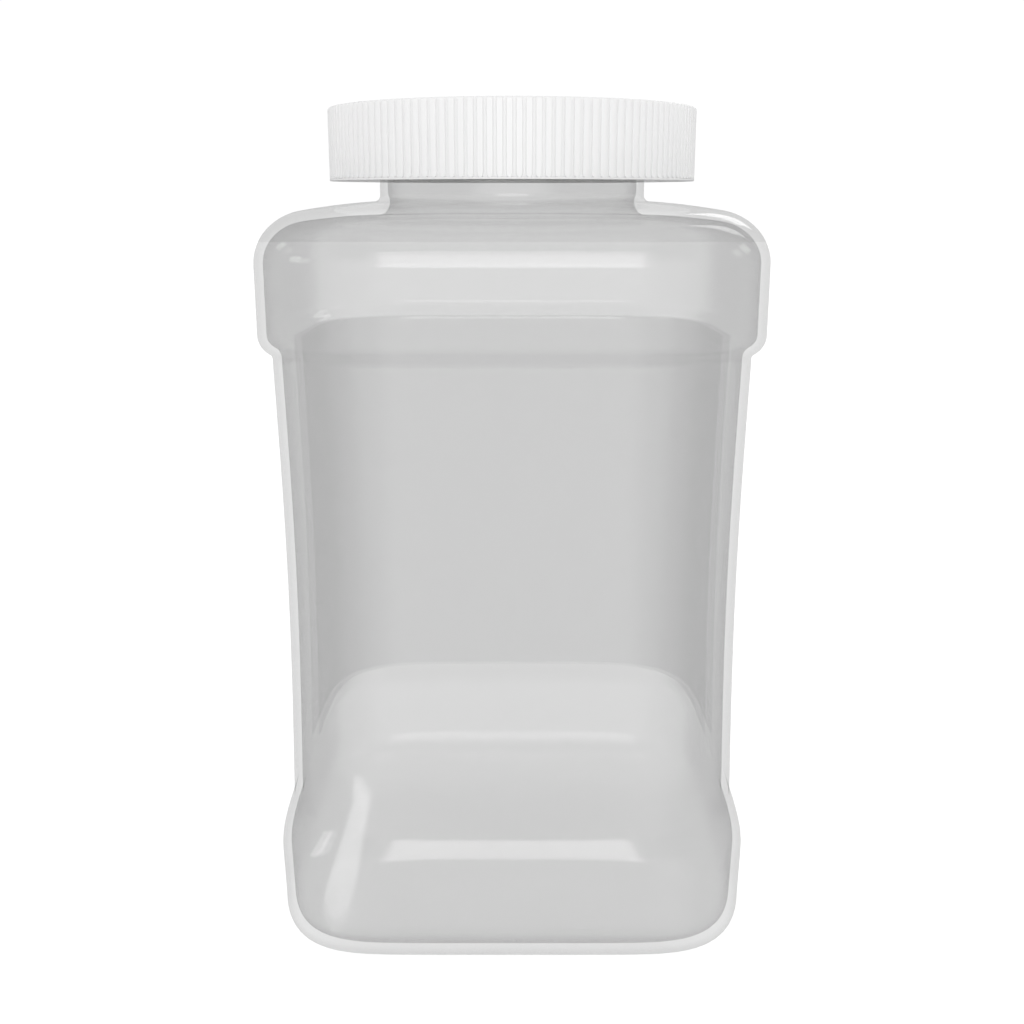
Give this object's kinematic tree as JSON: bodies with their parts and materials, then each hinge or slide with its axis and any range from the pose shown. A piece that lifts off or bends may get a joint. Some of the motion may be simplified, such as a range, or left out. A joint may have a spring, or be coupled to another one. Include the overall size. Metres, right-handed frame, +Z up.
{
  "type": "specimen jar",
  "caption": "Square clear jar with a recessed waist, round neck and white ribbed screw cap that turns, rises and comes off.",
  "frame": {"origin": "centre of the standing ring under the jar, on the surface it stands on", "axes": "+Z up through the neck and cap; the jar's front faces -Y; +X to the right seen from the front"},
  "size_m": [0.1484, 0.1484, 0.2608],
  "materials": {
    "clear_glass": "clear, polished",
    "white_cap": "satin white moulding",
    "natural_cap": "satin natural white moulding",
    "liner_foam": "closed-cell foam",
    "liner_film": "smooth film"
  },
  "bodies": {
    "jar": {"jar_body": "clear_glass"},
    "liner": {"liner_backing": "liner_foam", "liner_facing": "liner_film"},
    "cap": {"cap_outer_shell": "white_cap", "cap_inner_shell": "natural_cap"}
  },
  "joints": [
    {"name": "cap_turn", "type": "hinge", "parent": "liner", "child": "cap", "pos_m": [0, 0, 0.2485], "axis": [0, 0, 1], "range_deg": [0, 1800]},
    {"name": "cap_rise", "type": "slide", "parent": "jar", "child": "liner", "axis": [0, 0, 1], "range_m": [0, 0.0255]}
  ],
  "couplings": [
    {"joint": "cap_rise", "follows": "cap_turn", "m_per_rad": 0.00080851}
  ]
}
